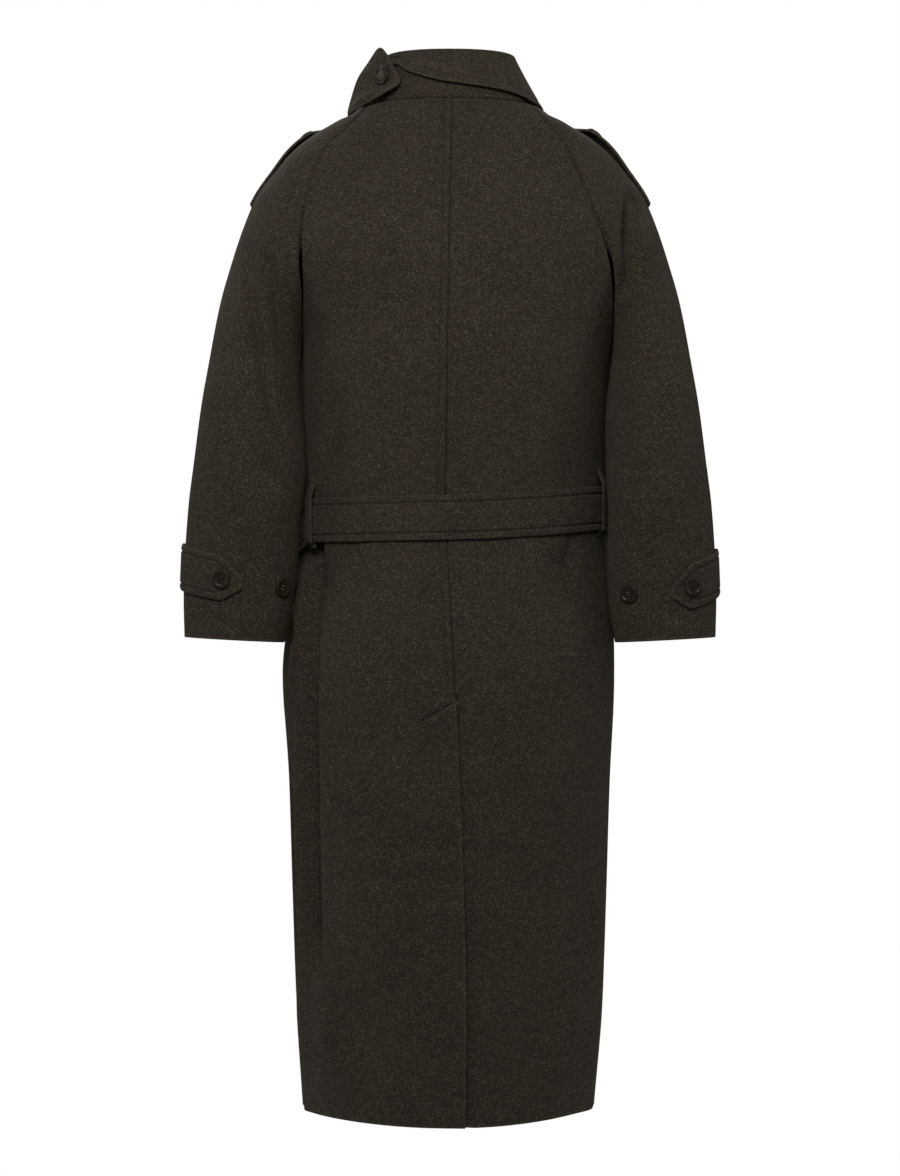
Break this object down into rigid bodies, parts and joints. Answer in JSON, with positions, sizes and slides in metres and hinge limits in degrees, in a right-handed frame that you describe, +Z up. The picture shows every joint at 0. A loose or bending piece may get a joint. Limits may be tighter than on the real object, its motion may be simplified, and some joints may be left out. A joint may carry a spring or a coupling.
{
  "type": "belted coat",
  "caption": "Long belted wool coat with raglan sleeves, standing collar with folded leaf and throat tab, shoulder and cuff straps and a back vent, filled out as if worn.",
  "frame": {"origin": "middle of the neck opening, level with the back neck seam, where the coat hangs from the wearer's shoulders", "axes": "+Z up; the wearer faces -Y, so the centre back is towards +Y; +X is the wearer's left"},
  "size_m": [0.6453, 0.3086, 1.2814],
  "materials": {
    "wool_cloth": "heavy brushed wool, dark olive brown melange with pale and reddish flecks and a short nap",
    "horn_button": "dark brown horn-look button with a soft shine"
  },
  "bodies": {
    "root": {"back_left": "wool_cloth", "back_right": "wool_cloth", "front_left": "wool_cloth", "front_right": "wool_cloth", "sleeve_back_left": "wool_cloth", "sleeve_back_right": "wool_cloth", "sleeve_front_left": "wool_cloth", "sleeve_front_right": "wool_cloth", "collar_stand": "wool_cloth", "collar_leaf": "wool_cloth", "throat_tab": "wool_cloth", "epaulette_left": "wool_cloth", "epaulette_right": "wool_cloth", "cuff_strap_left": "wool_cloth", "cuff_strap_right": "wool_cloth", "belt": "wool_cloth", "belt_knot": "wool_cloth", "belt_tail_left": "wool_cloth", "belt_tail_right": "wool_cloth", "belt_loop_left": "wool_cloth", "belt_loop_right": "wool_cloth", "throat_button": "horn_button", "epaulette_button_left": "horn_button", "epaulette_button_right": "horn_button", "strap_button_left": "horn_button", "strap_button_right": "horn_button", "cuff_button_left": "horn_button", "cuff_button_right": "horn_button"}
  },
  "joints": []
}
